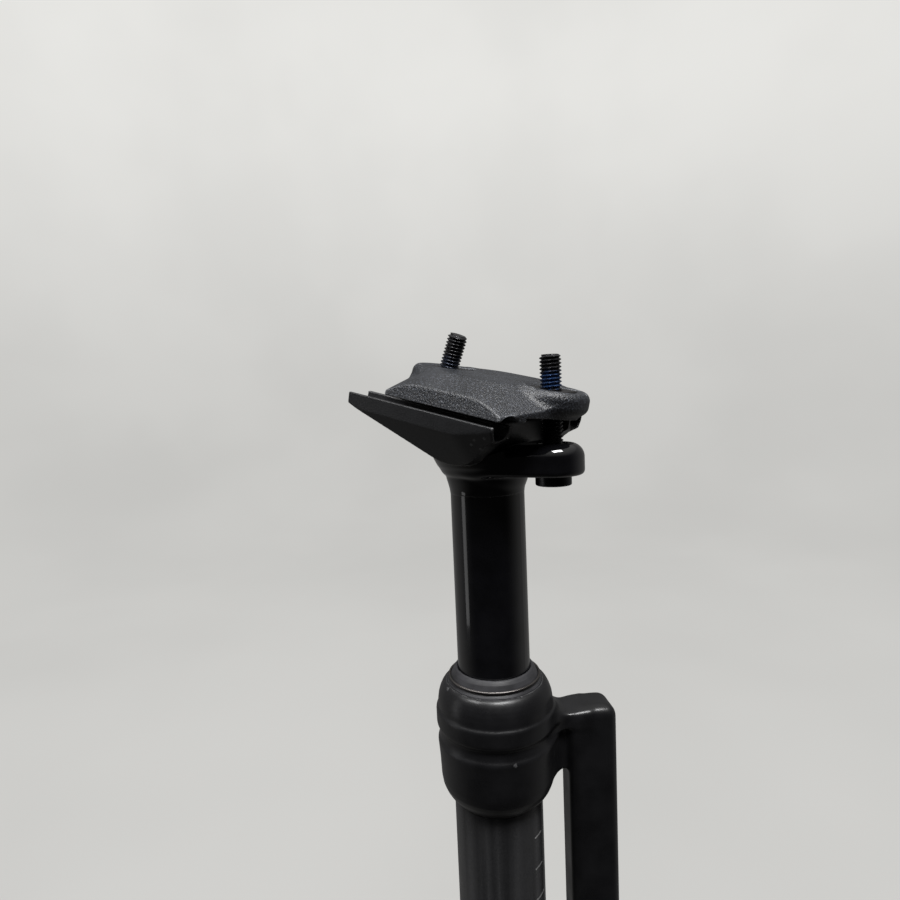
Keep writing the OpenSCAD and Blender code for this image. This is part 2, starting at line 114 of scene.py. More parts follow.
COLLAR = axes_matrix((0, 0, LIP_Z), (math.cos(COLUMN_TURN), math.sin(COLUMN_TURN), 0),
                     (-math.sin(COLUMN_TURN), math.cos(COLUMN_TURN), 0), (0, 0, 1))


def bolt_frame(joint):
    """Local z runs up the bolt from the underside of its washer."""
    z = Vector(JOINTS[joint]["axis"]).normalized()
    y = Vector((0, 1, 0))
    return axes_matrix(mm(JOINTS[joint]["pos_m"]), y.cross(z), y, z)


BOLTS = {"front": bolt_frame("front_bolt_turn"), "rear": bolt_frame("rear_bolt_turn")}


# ---------------------------------------------------------------- distance fields
def soft_min(a, b, k):
    """Union with a fillet of about k."""
    h = np.clip(0.5 + 0.5 * (b - a) / k, 0, 1)
    return b + (a - b) * h - k * h * (1 - h)


def soft_max(a, b, k):
    """Intersection with an edge rounded by about k."""
    return -soft_min(-a, -b, k)


def cut(a, b, k=0.3):
    """Solid a without solid b."""
    return soft_max(a, -b, k)


def outline(x, y, points):
    """Distance to a closed outline in a plane, negative inside."""
    best = np.full(np.shape(x), np.inf)
    inside = np.zeros(np.shape(x), bool)
    for (ax, ay), (bx, by) in zip(points, points[1:] + points[:1]):
        ex, ey = bx - ax, by - ay
        px, py = x - ax, y - ay
        t = np.clip((px * ex + py * ey) / (ex * ex + ey * ey), 0, 1)
        best = np.minimum(best, (px - ex * t) ** 2 + (py - ey * t) ** 2)
        crosses = (ay <= y) != (by <= y)
        inside ^= crosses & ((ex * py > ey * px) == (by > ay))
    return np.where(inside, -1, 1) * np.sqrt(best)


def block(x, y, z, half, edge):
    """A box about the origin with round edges."""
    q = [np.abs(p) - (h - edge) for p, h in zip((x, y, z), half)]
    far = np.sqrt(sum(np.maximum(p, 0) ** 2 for p in q))
    return far + np.minimum(np.maximum(np.maximum(q[0], q[1]), q[2]), 0) - edge


def puck(rho, z, r, low, high, edge):
    """A round bar from low to high with round rims."""
    qr = rho - (r - edge)
    qz = np.abs(z - (low + high) / 2) - ((high - low) / 2 - edge)
    far = np.hypot(np.maximum(qr, 0), np.maximum(qz, 0))
    return far + np.minimum(np.maximum(qr, qz), 0) - edge


def half_space(p, through):
    """Negative on the inner side of the plane through three points; the origin side is inside."""
    a, b, c = (np.array(q, float) for q in through)
    n = np.cross(b - a, c - a)
    n /= np.linalg.norm(n)
    if n @ a < 0:
        n = -n
    return p[0] * n[0] + p[1] * n[1] + p[2] * n[2] - n @ a


CUBE_EDGES = [(a, b) for a in range(8) for b in range(a + 1, 8) if bin(a ^ b).count("1") == 1]


def surface_net(field, low, high, step):
    """Points and quads of the field's zero surface."""
    counts = np.ceil((np.array(high) - low) / step).astype(int) + 1
    grid = [low[i] + step * np.arange(counts[i]) for i in range(3)]
    value = field(*np.meshgrid(*grid, indexing="ij"))
    inside = value < 0
    size = tuple(counts - 1)
    corner = [np.s_[c & 1:(c & 1) + size[0], (c >> 1) & 1:((c >> 1) & 1) + size[1],
                    c >> 2:(c >> 2) + size[2]] for c in range(8)]
    total = sum(inside[c].astype(np.int8) for c in corner)
    mixed = (total > 0) & (total < 8)
    index = np.full(size, -1)
    index[mixed] = np.arange(mixed.sum())
    at = [value[c][mixed] for c in corner]
    place = np.zeros((mixed.sum(), 3))
    hits = np.zeros(mixed.sum())
    for a, b in CUBE_EDGES:
        crossing = (at[a] < 0) != (at[b] < 0)
        t = np.where(crossing, at[a] / np.where(crossing, at[a] - at[b], 1), 0)
        for axis in range(3):
            start, end = (a >> axis) & 1, (b >> axis) & 1
            place[:, axis] += np.where(crossing, start + (end - start) * t, 0)
        hits += crossing
    points = np.array(low) + step * (np.argwhere(mixed) + place / hits[:, None])
    quads = []
    for axis in range(3):
        one, two = [a for a in range(3) if a != axis]
        near = [slice(None)] * 3
        far = [slice(None)] * 3
        near[axis], far[axis] = slice(0, -1), slice(1, None)
        flips = inside[tuple(near)] != inside[tuple(far)]
        outward = inside[tuple(near)]
        edges = np.argwhere(flips)
        keep = (edges[:, one] > 0) & (edges[:, two] > 0)
        keep &= (edges[:, one] < size[one]) & (edges[:, two] < size[two])
        edges = edges[keep]
        ring = []
        for da, db in ((1, 1), (0, 1), (0, 0), (1, 0)):
            cell = edges.copy()
            cell[:, one] -= da
            cell[:, two] -= db
            ring.append(index[tuple(cell.T)])
        ring = np.stack(ring, 1)
        turn = outward[tuple(edges.T)] ^ (axis == 1)
        quads.append(np.where(turn[:, None], ring, ring[:, ::-1]))
    return points, np.concatenate(quads)


LEAST_SQUARE_SLOPE = 0.2
LONGEST_MOVE = 0.3


def pull_on(field, points, rounds=3, probe=0.02, reach=0.22):
    """Moves points along the field's slope onto its zero surface.

    A point that would end further away than reach stays where it was.
    """
    start = points
    for _ in range(rounds):
        slope = np.stack([(field(*(points + d).T) - field(*(points - d).T)) / (2 * probe)
                          for d in np.eye(3) * probe], 1)
        square = np.maximum((slope ** 2).sum(1), LEAST_SQUARE_SLOPE)
        move = -(field(*points.T) / square)[:, None] * slope
        points = points + np.clip(move, -LONGEST_MOVE, LONGEST_MOVE)
    strayed = np.linalg.norm(points - start, axis=1) > reach
    return np.where(strayed[:, None], start, points)


# ---------------------------------------------------------------- making objects
def new_object(name, points_mm, faces, matrix, body, replaces=(), smooth_angle=None):
    mesh = bpy.data.meshes.new(name)
    mesh.from_pydata(np.asarray(points_mm).tolist(), [], [list(f) for f in faces])
    mesh.transform(matrix)
    mesh.validate()
    obj = bpy.data.objects.new(name, mesh)
    bpy.context.scene.collection.objects.link(obj)
    mesh.polygons.foreach_set("use_smooth", [True] * len(mesh.polygons))
    if smooth_angle is not None:
        mesh.set_sharp_from_angle(angle=math.radians(smooth_angle))
    if body is not None:
        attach(obj, body)
    if replaces:
        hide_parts(*replaces)
    return obj


def cast(name, field, low, high, step, matrix, body, replaces):
    """A piece from a distance field."""
    step = step * 1
    points, quads = surface_net(field, np.array(low, float), np.array(high, float), step)
    return new_object(name, pull_on(field, points), quads.tolist(), matrix, body, replaces)


NEARLY_STRAIGHT = math.radians(84)                 # half the angle of a corner that is left as it is
LONGEST_CUT = 0.45                                 # of a side, by the rounding of one corner


def rounded(points, radius, steps=4):
    """A closed outline with its corners rounded, less where its sides are short."""
    out = []
    n = len(points)
    for i in range(n):
        p, q, r = (np.array(points[(i + k) % n], float) for k in (-1, 0, 1))
        a, b = p - q, r - q
        la, lb = np.linalg.norm(a), np.linalg.norm(b)
        a, b = a / la, b / lb
        half = math.acos(float(np.clip(a @ b, -1, 1))) / 2
        if half > NEARLY_STRAIGHT:
            out.append(tuple(q))
            continue
        back = min(radius / math.tan(half), LONGEST_CUT * la, LONGEST_CUT * lb)
        for s in range(steps + 1):
            t = s / steps
            out.append(tuple(q + a * back * (1 - t) ** 2 + b * back * t ** 2))
    return out


def spin(name, points, matrix, body, replaces=(), around=160, radius=None, sharp=50):
    """A closed outline of (radius, height) turned about z. radius(r, z, angle) may add relief."""
    n = len(points)
    angles = np.arange(around) * 2 * math.pi / around
    r = np.array([p[0] for p in points])
    z = np.array([p[1] for p in points])
    rr, aa = np.meshgrid(r, angles)
    zz = np.broadcast_to(z, rr.shape)
    if radius is not None:
        rr = radius(rr, zz, aa)
    verts = np.stack([rr * np.cos(aa), rr * np.sin(aa), zz], -1).reshape(-1, 3)
    faces = [(i * n + j, i * n + (j + 1) % n,
              (i + 1) % around * n + (j + 1) % n, (i + 1) % around * n + j)
             for i in range(around) for j in range(n)]
    area = sum(p[0] * q[1] - q[0] * p[1] for p, q in zip(points, points[1:] + points[:1]))
    if area < 0:
        faces = [f[::-1] for f in faces]
    return new_object(name, verts, faces, matrix, body, replaces, sharp)


# ---------------------------------------------------------------- finishes
def node_tree(name):
    material = bpy.data.materials.new(name)
    material.use_nodes = True
    nodes, links = material.node_tree.nodes, material.node_tree.links
    return material, nodes, links, nodes["Principled BSDF"]


def math_node(nodes, links, operation, *values):
    """One arithmetic step on numbers or sockets."""
    n = nodes.new("ShaderNodeMath")
    n.operation = operation
    for socket, value in zip(n.inputs, values):
        if isinstance(value, (int, float)):
            socket.default_value = value
        else:
            links.new(value, socket)
    return n.outputs[0]


def noise(nodes, links, coords, size_mm, detail=3.0, stretch=(1, 1, 1)):
    mapping = nodes.new("ShaderNodeMapping")
    mapping.inputs["Scale"].default_value = stretch
    links.new(coords, mapping.inputs["Vector"])
    n = nodes.new("ShaderNodeTexNoise")
    n.inputs["Scale"].default_value = 1 / (size_mm * MM)
    n.inputs["Detail"].default_value = detail
    links.new(mapping.outputs["Vector"], n.inputs["Vector"])
    return n.outputs["Fac"]


def map_range(nodes, links, value, a, b, low, high):
    n = nodes.new("ShaderNodeMapRange")
    n.interpolation_type = "SMOOTHSTEP"
    links.new(value, n.inputs["Value"])
    for socket, v in zip(("From Min", "From Max", "To Min", "To Max"), (a, b, low, high)):
        n.inputs[socket].default_value = v
    return n.outputs["Result"]


def mix_colour(nodes, links, factor, a, b):
    n = nodes.new("ShaderNodeMix")
    n.data_type = "RGBA"
    links.new(factor, n.inputs["Factor"])
    for socket, value in zip((n.inputs[6], n.inputs[7]), (a, b)):
        if isinstance(value, tuple):
            socket.default_value = (*value, 1)
        else:
            links.new(value, socket)
    return n.outputs[2]


def finish(name, colour, rough, metal=0.0, grain=0.0, grain_mm=0.4, mottle=0.15, mottle_mm=9.0,
           rough_spread=0.06, coat=0.0, coat_rough=0.05, stretch=(1, 1, 1), wear_and_edge_sheen=None, specular=0.5,
           marks=None):
    """A procedural finish: mottled colour, uneven gloss, fine grain, lightened edges (partly wear, partly
    painted edge highlight) and optional marks.
    """
    material, nodes, links, shader = node_tree(name)
    coords = nodes.new("ShaderNodeTexCoord").outputs["Object"]
    cloud = noise(nodes, links, coords, mottle_mm, 4.0, stretch)
    shift = map_range(nodes, links, cloud, 0.3, 0.7, 0, 1)
    dark = tuple(c * (1 - mottle) for c in colour)
    light = tuple(min(1, c * (1 + mottle)) for c in colour)
    base = mix_colour(nodes, links, shift, dark, light)
    fine = noise(nodes, links, coords, grain_mm, 5.0, stretch)
    # Sharp edges are lightened in the colour: partly edge wear, partly a painted highlight where rounded
    # edges catch the light.
    if wear_and_edge_sheen:
        edge = nodes.new("ShaderNodeNewGeometry").outputs["Pointiness"]
        edge_wear_and_highlight = math_node(nodes, links, "MULTIPLY",
                        map_range(nodes, links, edge, wear_and_edge_sheen[2], wear_and_edge_sheen[2] + 0.05, 0, wear_and_edge_sheen[1]),
                        map_range(nodes, links, fine, 0.35, 0.6, 0.3, 1))
        base = mix_colour(nodes, links, edge_wear_and_highlight, base, wear_and_edge_sheen[0])
    if marks:
        base = marks(nodes, links, coords, base, fine)
    links.new(base, shader.inputs["Base Color"])
    uneven = math_node(nodes, links, "ADD", math_node(nodes, links, "MULTIPLY", fine, 0.5),
                       math_node(nodes, links, "MULTIPLY", cloud, 0.5))
    links.new(map_range(nodes, links, uneven, 0.35, 0.65, max(0.02, rough - rough_spread),
                        min(1, rough + rough_spread)), shader.inputs["Roughness"])
    shader.inputs["Metallic"].default_value = metal
    shader.inputs["Specular IOR Level"].default_value = specular
    shader.inputs["Coat Weight"].default_value = coat
    shader.inputs["Coat Roughness"].default_value = coat_rough
    if grain:
        bump = nodes.new("ShaderNodeBump")
        bump.inputs["Strength"].default_value = grain
        bump.inputs["Distance"].default_value = grain_mm * MM * 0.5
        links.new(fine, bump.inputs["Height"])
        links.new(bump.outputs["Normal"], shader.inputs["Normal"])
    return material


def thread_lock(matrix, low, high, strength):
    """Dried blue thread lock on a bolt, from low to high along it in millimetres."""
    origin, axis = matrix.translation, matrix.col[2].xyz.normalized()

    def marks(nodes, links, coords, base, fine):
        dot = nodes.new("ShaderNodeVectorMath")
        dot.operation = "DOT_PRODUCT"
        links.new(coords, dot.inputs[0])
        dot.inputs[1].default_value = axis
        height = math_node(nodes, links, "SUBTRACT", dot.outputs["Value"], axis.dot(origin))
        along = math_node(nodes, links, "MULTIPLY", height, 1 / MM)
        ragged = math_node(nodes, links, "ADD", along,
                           math_node(nodes, links, "MULTIPLY", noise(nodes, links, coords, 1.6), 5.0))
        start = map_range(nodes, links, ragged, low + 1.6, low + 2.6, 0, 1)
        end = map_range(nodes, links, ragged, high + 1.6, high + 3.4, 1, 0)
        patch = math_node(nodes, links, "MULTIPLY", math_node(nodes, links, "MULTIPLY", start, end),
                          map_range(nodes, links, noise(nodes, links, coords, 0.7), 0.36, 0.55,
                                    0.3 * strength, strength))
        return mix_colour(nodes, links, patch, base, (0.022, 0.075, 0.22))
    return marks


def painted_glint_specks(nodes, links, coords, base, fine):
    """Painted highlight: lighter specks in the base colour for the glinting high spots of a coarse cast
    surface under thin paint.
    """
    # painted glints: lighter colour mixed in at the noise's high spots
    spots = map_range(nodes, links, noise(nodes, links, coords, 0.42, 2.0), 0.52, 0.68, 0, 0.85)
    return mix_colour(nodes, links, spots, base, (0.075, 0.083, 0.10))


def depth_marks(nodes, links, coords, base, fine):
    """Fine printed ticks up the front of the outer tube, 10 mm apart and wider every 50 mm."""
    split = nodes.new("ShaderNodeSeparateXYZ")
    links.new(coords, split.inputs[0])
    x, y, z = split.outputs
    step = math_node(nodes, links, "FRACT", math_node(nodes, links, "DIVIDE", z, 10 * MM))
    tick = math_node(nodes, links, "LESS_THAN", step, 0.045)
    five = math_node(nodes, links, "FRACT", math_node(nodes, links, "DIVIDE", z, 50 * MM))
    wider = math_node(nodes, links, "LESS_THAN", five, 0.02)
    width = math_node(nodes, links, "ADD", 2.0 * MM,
                      math_node(nodes, links, "MULTIPLY", wider, 1.6 * MM))
    side = math_node(nodes, links, "LESS_THAN", math_node(nodes, links, "ABSOLUTE", y), width)
    front = math_node(nodes, links, "GREATER_THAN", x, 5 * MM)
    band = math_node(nodes, links, "MULTIPLY", math_node(nodes, links, "GREATER_THAN", z, 95 * MM),
                     math_node(nodes, links, "LESS_THAN", z, 222 * MM))
    mask = math_node(nodes, links, "MULTIPLY", math_node(nodes, links, "MULTIPLY", tick, side),
                     math_node(nodes, links, "MULTIPLY", front, band))
    print_wear = map_range(nodes, links, fine, 0.3, 0.5, 0.5, 0.9)
    ink = math_node(nodes, links, "MULTIPLY", mask, print_wear)
    return mix_colour(nodes, links, ink, base, (0.5, 0.5, 0.5))


# Lighter sharp edges, partly wear and partly painted highlight along edges and creases that catch the light.
WEAR_AND_EDGE_SHEEN = ((0.16, 0.16, 0.165), 0.5, 0.53)            # colour, strength and least sharpness
RUBBED_AND_HIGHLIT_EDGES = ((0.30, 0.31, 0.33), 0.75, 0.512)
FINISHES = {
    "gloss_black": finish("gloss_black", (0.0045, 0.0045, 0.0055), 0.10, grain=0.02, grain_mm=0.25,
                          mottle=0.3, rough_spread=0.03, coat=0.6, coat_rough=0.03),
    "satin_black": finish("satin_black", (0.009, 0.009, 0.010), 0.33, grain=0.07, grain_mm=0.16,
                          mottle=0.2, rough_spread=0.07, wear_and_edge_sheen=WEAR_AND_EDGE_SHEEN),
    "cast_black": finish("cast_black", (0.0145, 0.0155, 0.0185), 0.40, grain=1.0, grain_mm=0.5,
                         mottle=0.25, rough_spread=0.08, wear_and_edge_sheen=RUBBED_AND_HIGHLIT_EDGES, specular=0.6, marks=painted_glint_specks),
    "rocker_black": finish("rocker_black", (0.0075, 0.0077, 0.009), 0.38, grain=0.35, grain_mm=0.4,
                           mottle=0.25, rough_spread=0.07, wear_and_edge_sheen=WEAR_AND_EDGE_SHEEN),
    "anodised_black": finish("anodised_black", (0.012, 0.012, 0.0135), 0.30, metal=0.2, grain=0.05,
                             grain_mm=0.12, mottle=0.18, wear_and_edge_sheen=WEAR_AND_EDGE_SHEEN, marks=depth_marks),
    "plain_anodised": finish("plain_anodised", (0.012, 0.012, 0.0135), 0.30, metal=0.2, grain=0.06,
                             grain_mm=0.14, mottle=0.18, wear_and_edge_sheen=WEAR_AND_EDGE_SHEEN),
    "black_steel": finish("black_steel", (0.035, 0.034, 0.036), 0.34, metal=0.8, grain=0.12, grain_mm=0.2,
                          mottle=0.3, mottle_mm=2.5, wear_and_edge_sheen=((0.2, 0.19, 0.18), 0.6, 0.53)),
    "rubber_black": finish("rubber_black", (0.012, 0.012, 0.012), 0.55, grain=0.15, grain_mm=0.2),
    "seal_grey": finish("seal_grey", (0.034, 0.034, 0.037), 0.42, grain=0.12, grain_mm=0.22, mottle=0.25,
                        mottle_mm=5.0, specular=0.4),
    "bronze": finish("bronze", (0.36, 0.23, 0.10), 0.30, metal=1, grain=0.1, grain_mm=0.2,
                     stretch=(1, 1, 12)),
    "brass": finish("brass", (0.60, 0.44, 0.17), 0.24, metal=1, grain=0.08, grain_mm=0.2, stretch=(1, 1, 12)),
    "spring_steel": finish("spring_steel", (0.30, 0.30, 0.31), 0.28, metal=1, grain=0.08, grain_mm=0.25),
    "garter_steel": finish("garter_steel", (0.16, 0.15, 0.145), 0.34, metal=1, grain=0.2, grain_mm=0.2),
    "bare_aluminium": finish("bare_aluminium", (0.58, 0.58, 0.59), 0.30, metal=1, grain=0.1, grain_mm=0.18,
                             stretch=(1, 1, 14)),
    "polymer_green": finish("polymer_green", (0.14, 0.18, 0.08), 0.5, grain=0.1, grain_mm=0.3),
    "elastomer_red": finish("elastomer_red", (0.25, 0.045, 0.035), 0.5, grain=0.12, grain_mm=0.3),
    "elastomer_amber": finish("elastomer_amber", (0.55, 0.37, 0.12), 0.4, grain=0.1, grain_mm=0.4),
    "plastic_black": finish("plastic_black", (0.012, 0.012, 0.013), 0.45, grain=0.3, grain_mm=0.25),
}
BOLT_LOOK = dict(colour=(0.020, 0.020, 0.022), rough=0.27, metal=0.55, grain=0.12, grain_mm=0.2,
                 mottle=0.35, mottle_mm=2.0, wear_and_edge_sheen=((0.22, 0.22, 0.22), 0.35, 0.53), specular=0.6)
BOLT_FINISHES = {
    "front": finish("bolt_front", marks=thread_lock(BOLTS["front"], 21.0, 25.2, 0.6), **BOLT_LOOK),
    "rear": finish("bolt_rear", marks=thread_lock(BOLTS["rear"], 19.5, 23.5, 0.12), **BOLT_LOOK),
}


def paint(obj, material):
    obj.data.materials.clear()
    obj.data.materials.append(material)


# ---------------------------------------------------------------- collar with its side reservoir
# radius of the collar by depth below the lip
COLLAR_OUTLINE = [
    (-41, 13.4), (-40, 13.7), (-38.9, 14.6), (-37.9, 15.5), (-36.6, 16.3), (-35, 16.95), (-33, 17.25),
    (-27, 17.5), (-22.9, 17.8), (-21.9, 17.88), (-21.2, 17.75), (-20.6, 17.35), (-19.4, 17.15),
    (-18.1, 17.1), (-17.4, 17.4), (-16.6, 17.95), (-15.9, 18.08), (-12.1, 18.08), (-11.6, 17.95),
    (-11.2, 17.5), (-9.4, 17.4), (-7.7, 17.15), (-6.4, 16.75), (-5.2, 16.2), (-4.3, 15.65),
    (-3.4, 15.1), (-1, 14.6)]
COLLAR_DEPTH, COLLAR_RADIUS = (np.array(c) for c in zip(*COLLAR_OUTLINE))
COLUMN_TOP = -13.9
COLUMN_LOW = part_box("seal_collar")[0].z / MM - LIP_Z
COLUMN_HALF = (7.5, 6.1)
COLLAR_LOW = -40.0
COLLAR_TOP = -3.5
LINK_X = 20.0                                      # middle of the bridge and of its web
PORT_DEPTH = -27.0
# radius, low end and high end: tube, oil chamber, bushing, oil seal and wiper
COLLAR_BORES = ((13.32, -42, -30), (12.4, -31, -23.5), (13.0, -24, -12.5), (14.2, -13, -6.5),
                (14.42, -7, 1))
# gas and oil chamber, and the wider mouth for the cap
COLUMN_BORES = ((4.2, COLUMN_LOW + 6.8, -23), (4.98, COLUMN_LOW - 2, COLUMN_LOW + 8))


def collar_field(x, y, z):
    rho = np.hypot(x, y)
    nudge = 0.16
    outer = sum(np.interp(z + d, COLLAR_DEPTH, COLLAR_RADIUS) for d in (-nudge, 0, nudge)) / 3
    body = soft_max(rho - outer, COLLAR_LOW - z, 0.6)
    body = soft_max(body, z - COLLAR_TOP, 1.4)
    # column: a rounded bar with a crowned top
    cx = x - COLUMN_REACH
    bar = block(cx, y, 0 * z, (COLUMN_HALF[0], COLUMN_HALF[1], 50), 3.0)
    crown = z - COLUMN_TOP + 0.02 * (cx - 2) ** 2
    column = soft_max(bar, crown, 3.4)
    column = soft_max(column, COLUMN_LOW - z, 0.5)
    # bridge beam and the thinner web under it
    beam = block(x - LINK_X, y, z + 17.4, (8.6, 5.5, 2.4), 0.8)
    web = block(x - LINK_X, y, z + 26, (8.6, 2.75, 7.6), 0.4)
    link = soft_min(beam, web, 2.4)
    solid = soft_min(soft_min(body, link, 5.5), column, 2.2)
    solid = soft_min(solid, soft_min(body, column, 3.2), 0.4)
    for r, low, high in COLLAR_BORES:
        solid = cut(solid, puck(rho, z, r, low, high, 0.05), 0.12)
    inner = np.hypot(cx, y)
    for r, low, high in COLUMN_BORES:
        solid = cut(solid, puck(inner, z, r, low, high, 0.05), 0.15)
    port = np.hypot(y, z - PORT_DEPTH)
    solid = cut(solid, puck(port, x, 2.52, COLUMN_REACH + 2.5, COLUMN_REACH + 12, 0.05), 0.25)
    return cut(solid, puck(port, x, 1.2, 12, COLUMN_REACH + 4, 0.05), 0.1)


collar = cast("seal_collar_forged", collar_field, (-19, -19, COLUMN_LOW - 1), (38, 19, -1), 0.42,
              COLLAR, "post", ["seal_collar"])
paint(collar, FINISHES["satin_black"])


# ---------------------------------------------------------------- wiper and its ring
WIPER_OUTLINE = [(STANCHION_R + 0.06, -6.9), (14.38, -6.9), (14.38, -3.5), (14.2, -3.2), (13.9, -3.35),
                 (13.55, -2.9), (13.3, -2.2), (13.1, -1.7), (12.55, -0.5), (12.25, -0.1), (11.9, 0.35),
                 (11.45, 0.62), (STANCHION_R + 0.06, 0.35), (STANCHION_R + 0.3, -0.6),
                 (STANCHION_R + 0.5, -1.6), (STANCHION_R + 0.06, -2.4)]
wiper = spin("wiper_lip", rounded(WIPER_OUTLINE, 0.22), COLLAR, "post", ["wiper_seal"])
paint(wiper, FINISHES["seal_grey"])

RING_COILS = 150
RING_R = 13.62
RING_WIRE_R = 0.36
RING_DEPTH = -2.06


def garter_relief(rr, zz, aa):
    return rr + 0.05 * np.sin(RING_COILS * aa) * (zz > -2.3)


ring_outline = [(RING_R + RING_WIRE_R * math.cos(t), RING_DEPTH + RING_WIRE_R * math.sin(t))
                for t in np.arange(12) * math.pi / 6]
garter = spin("wiper_garter", ring_outline, COLLAR, "post", ["wiper_ring"],
              around=600, radius=garter_relief, sharp=80)
paint(garter, FINISHES["garter_steel"])


# ---------------------------------------------------------------- head of the stanchion
CUP = [(-7, STANCHION_R + 0.03), (-5.6, STANCHION_R + 0.06), (-4.4, STANCHION_R + 0.25),
       (-3, STANCHION_R + 0.6), (-1.7, STANCHION_R + 0.95), (-0.5, STANCHION_R + 1.2),
       (0.2, STANCHION_R + 1.7), (1.3, 13.6), (2.6, 14.6), (4.4, 15.5), (6.6, 16.0), (12, 16.1)]
CUP_HEIGHT, CUP_RADIUS = (np.array(c) for c in zip(*CUP))
EAR_H = 8.8
HEAD_SINK = 2.9
SPIGOT_R = 9.18                                    # part of the head inside the stanchion
HEAD_BORE_R = 6.5
BOLT_HOLE_R = 3.9
RECESS_R = 5.9                                     # room for the bolt's head and washer
RECESS_TOP = 1.45
EAR_R = {"front": 8.6, "rear": 8.0}
ARM_ROOT_R = {"front": 13.2, "rear": 12.0}


def on_bolt(which, x, y, z):
    """Distance from a bolt's axis and height along it, from row-frame millimetres."""
    m = BOLTS[which]
    o, a = m.translation / MM, m.col[2].xyz.normalized()
    dx, dy, dz = x - o.x, y - o.y, z - o.z
    along = dx * a.x + dy * a.y + dz * a.z
    across = np.sqrt(np.maximum(dx * dx + dy * dy + dz * dz - along * along, 0))
    return across, along


def tapered_plan(x, y, reach, root_r, ear_r):
    """Distance to the outline round two circles, one at the post's axis and one at reach along x."""
    lean = (root_r - ear_r) / reach
    slope = math.sqrt(1 - lean * lean)
    side = np.abs(y)
    along = slope * x - lean * side
    near, far = np.hypot(x, y) - root_r, np.hypot(x - reach, y) - ear_r
    return np.where(along < 0, near, np.where(along > slope * reach, far, slope * side + lean * x - root_r))


def arm(which, x, y, z, edge):
    """A tapered slab square to its bolt, from the post to the ear."""
    m = BOLTS[which]
    up = m.col[2].xyz.normalized()
    out = Vector((up.z, 0, -up.x)) * (1 if which == "front" else -1)
    foot = m.translation / MM - up * HEAD_SINK
    dx, dz = x - foot.x, z - foot.z
    reach = Vector((foot.x, 0, foot.z - HEAD_Z - 2)).dot(out)
    plan = tapered_plan(dx * out.x + dz * out.z + reach, y, reach, ARM_ROOT_R[which], EAR_R[which])
    rise = dx * up.x + dz * up.z
    return soft_max(puck(plan, rise, 0, -EAR_H, EAR_H, edge), -rise, 1.6)


def head_field(x, y, z):
    rho = np.hypot(x, y)
    h = z - HEAD_Z
    cup = rho - sum(np.interp(h + d, CUP_HEIGHT, CUP_RADIUS) for d in (-0.2, 0, 0.2)) / 3
    cup = soft_max(soft_max(cup, h - EAR_H, 1.6), -(h + 6), 0.1)
    solid = soft_min(cup, arm("front", x, y, z, 3.9), 1.2)
    solid = soft_min(solid, arm("rear", x, y, z, 3.0), 2.2)
    solid = soft_max(solid, -(h + 9), 0.3)
    solid = soft_min(solid, puck(rho, h, SPIGOT_R, -21.5, -3, 0.3), 0.05)
    solid = cut(solid, puck(rho, h, HEAD_BORE_R, -30, -6.5, 0.3))
    seat = np.hypot(x - SWING[0], z - SWING[2]) - SWING_R
    solid = cut(solid, seat, 0.7)
    for which in BOLTS:
        across, along = on_bolt(which, x, y, z)
        solid = cut(solid, puck(across, along, BOLT_HOLE_R, -5, 14, 0.05), 0.5)
        solid = cut(solid, puck(across, along, RECESS_R, -14, RECESS_TOP, 0.05), 0.5)
    return solid


head = cast("post_head_forged", head_field, (-31, -17.5, HEAD_Z - 25), (32, 17.5, HEAD_Z + 17), 0.36,
            ROW, "slider", ["post_head"])
paint(head, FINISHES["gloss_black"])


# ---------------------------------------------------------------- lower cradle
CRADLE_U = 24.55
CRADLE_V = 26.5
WING_SIDE = [(-CRADLE_U, 0), (-CRADLE_U, -3.2), (4.4, -13.1), (6.8, -13.6), (9, -13.75), (11.5, -13.55),
             (14, -12.9), (17.3, -10.9), (19.9, -8.1), (22, -5.5), (24, -4), (CRADLE_U, -3.5), (CRADLE_U, 0)]
LOWER_FACET = [(0, 26.5, -4.2), (10, 26.5, -4.2), (9, 21.0, -13.75)]
NOSE_FACET = [(13.5, 26.5, -4.2), (18, 21.3, -13.2), (24.5, 24.95, -4.2)]
GROOVE_INNER_V = 17.0
ROCKER_GAP = 0.06                                  # between the cradle and its round seat


def cradle_field(u, v, w):
    side = np.abs(v)
    p = (u, side, w)
    wing = soft_max(outline(u, w, WING_SIDE), side - CRADLE_V, 0.45)
    wing = soft_max(wing, half_space(p, LOWER_FACET), 0.25)
    wing = soft_max(wing, half_space(p, NOSE_FACET), 0.25)
    wing = soft_max(wing, GROOVE_INNER_V - side, 0.4)
    # the block between the wings, round under the tilt axis
    x = u * U_AXIS[0] + w * W_AXIS[0] + CLAMP_ORIGIN[0]
    z = u * U_AXIS[2] + w * W_AXIS[2] + CLAMP_ORIGIN[2]
    middle = block(u - 5.5, v, w + 10.5, (12, 17.2, 9.5), 1.2)
    solid = soft_min(wing, middle, 1.6)
    # between the wings nothing hangs below the round seat
    rocker = np.hypot(x - SWING[0], z - SWING[2]) - (SWING_R - ROCKER_GAP)
    solid = np.where(side < GROOVE_INNER_V + 0.4, soft_max(solid, rocker, 0.3), solid)
    groove = np.hypot(side - RAIL_V, w - RAIL_W) - RAIL_R
    return cut(solid, groove, 0.35)


cradle = cast("lower_cradle_cast", cradle_field, (-25.5, -27.5, -16), (25.5, 27.5, 1.0), 0.36,
              CLAMP, "rail_clamp", ["lower_cradle"])
paint(cradle, FINISHES["rocker_black"])


